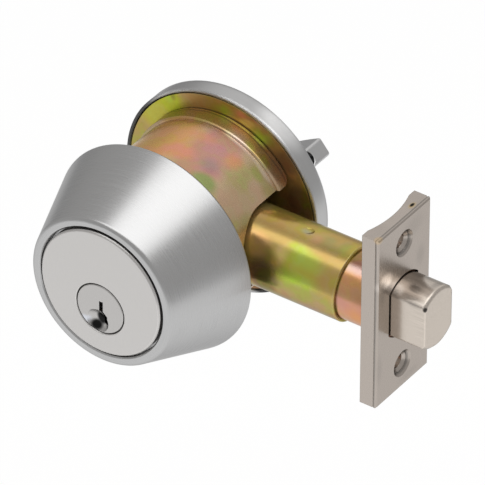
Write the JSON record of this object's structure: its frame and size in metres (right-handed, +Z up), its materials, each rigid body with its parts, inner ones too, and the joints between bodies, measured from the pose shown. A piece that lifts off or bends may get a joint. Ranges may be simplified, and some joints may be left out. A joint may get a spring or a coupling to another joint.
{
  "type": "deadbolt door lock",
  "caption": "Tubular deadbolt with a tapered round collar and keyed cylinder outside, a round rose and thumbturn inside, and a square-ended bolt that slides out of an oblong faceplate.",
  "frame": {"origin": "where the axis of the cylinder and cross bore meets the axis of the bolt", "axes": "+X along the bolt, out of the door edge; +Y through the door from outside to inside; +Z up"},
  "size_m": [0.115, 0.0803, 0.0654],
  "materials": {
    "satin_chrome": "brushed satin chrome",
    "yellow_zinc": "yellow zinc dichromate",
    "rose_zinc": "pinkish zinc dichromate",
    "satin_nickel": "satin nickel",
    "plain_steel": "plain zinc-plated steel",
    "brass": "machined brass",
    "nylon": "black nylon"
  },
  "bodies": {
    "lock_body": {"cylinder_shell": "satin_chrome", "driver_pins": "brass", "pin_springs": "plain_steel", "chamber_caps": "brass", "cylinder_set_screw": "plain_steel", "bore_housing": "yellow_zinc", "housing_posts": "plain_steel", "through_bolts": "satin_chrome", "mounting_plate": "yellow_zinc", "inside_rose": "satin_chrome", "turn_washer": "plain_steel", "rear_bolt_tube": "yellow_zinc", "tube_rear_cap": "yellow_zinc", "front_bolt_tube": "rose_zinc", "bolt_guide_bush": "nylon", "bolt_backplate": "satin_nickel", "faceplate": "satin_nickel"},
    "collar": {"tapered_collar": "satin_chrome"},
    "plug": {"key_plug": "satin_chrome", "bottom_pins": "brass", "plug_retainer": "brass", "retainer_screws": "plain_steel"},
    "turn": {"thumbturn": "satin_chrome", "turn_retaining_ring": "plain_steel", "tailpiece": "plain_steel", "crank": "plain_steel", "crank_pin": "plain_steel"},
    "bolt": {"deadbolt": "satin_nickel", "saw_guard_pin": "plain_steel", "bolt_tail_plates": "plain_steel", "tail_rivets": "plain_steel"}
  },
  "joints": [
    {"name": "thumbturn_turn", "type": "hinge", "parent": "lock_body", "child": "turn", "pos_m": [0, 0, -0.00535], "axis": [0, 1, 0], "range_deg": [-43, 47]},
    {"name": "bolt_slide", "type": "slide", "parent": "lock_body", "child": "bolt", "axis": [1, 0, 0], "range_m": [-0.01272, 0.0139]},
    {"name": "plug_turn", "type": "hinge", "parent": "lock_body", "child": "plug", "pos_m": [0, 0, -0.00535], "axis": [0, 1, 0], "range_deg": [-90, 90]},
    {"name": "collar_spin", "type": "hinge", "parent": "lock_body", "child": "collar", "pos_m": [0, 0, 0], "axis": [0, 1, 0], "continuous": true}
  ],
  "couplings": [
    {"joint": "bolt_slide", "follows": "thumbturn_turn", "m_per_rad": 0.016934}
  ]
}
